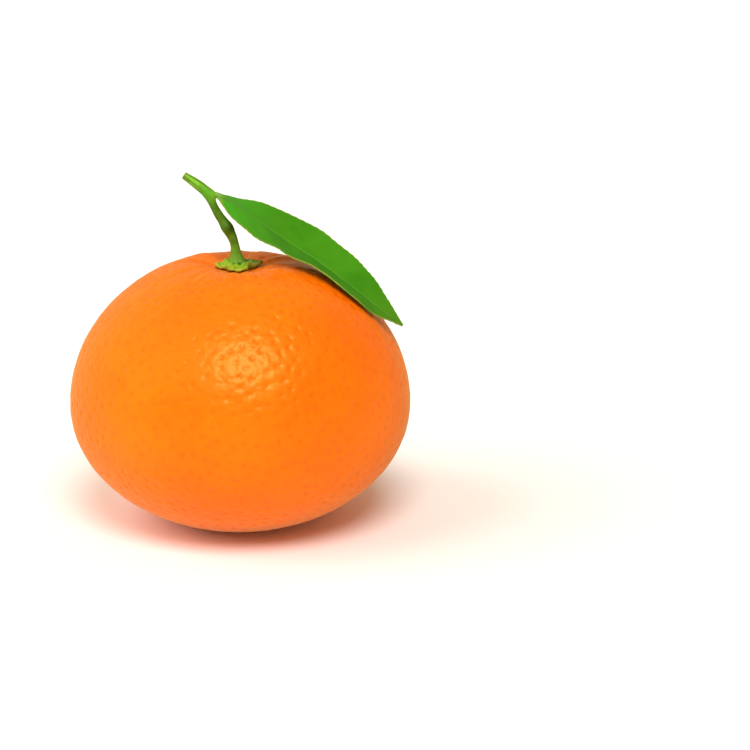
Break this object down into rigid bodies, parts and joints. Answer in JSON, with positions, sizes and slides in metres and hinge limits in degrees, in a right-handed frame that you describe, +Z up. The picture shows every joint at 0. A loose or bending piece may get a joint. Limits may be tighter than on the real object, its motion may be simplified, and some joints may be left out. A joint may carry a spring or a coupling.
{
  "type": "mandarin",
  "caption": "Whole mandarin as picked: a squat orange fruit with a green calyx, a bent stalk with a short end of twig, and a pointed leaf that hangs over its shoulder.",
  "frame": {"origin": "on the surface that the fruit rests on, under its core", "axes": "+Z up along the fruit's core, +X the way the leaf lies, -Y the side it is seen from"},
  "size_m": [0.068, 0.068, 0.0709],
  "materials": {
    "rind": "waxy satin rind with oil-gland pits",
    "calyx": "matt, light yellow-green",
    "shoot": "satin green bark",
    "leaf": "waxy leathery leaf"
  },
  "bodies": {
    "root": {"fruit": "rind", "calyx": "calyx", "stem": "shoot", "leaf": "leaf"}
  },
  "joints": []
}
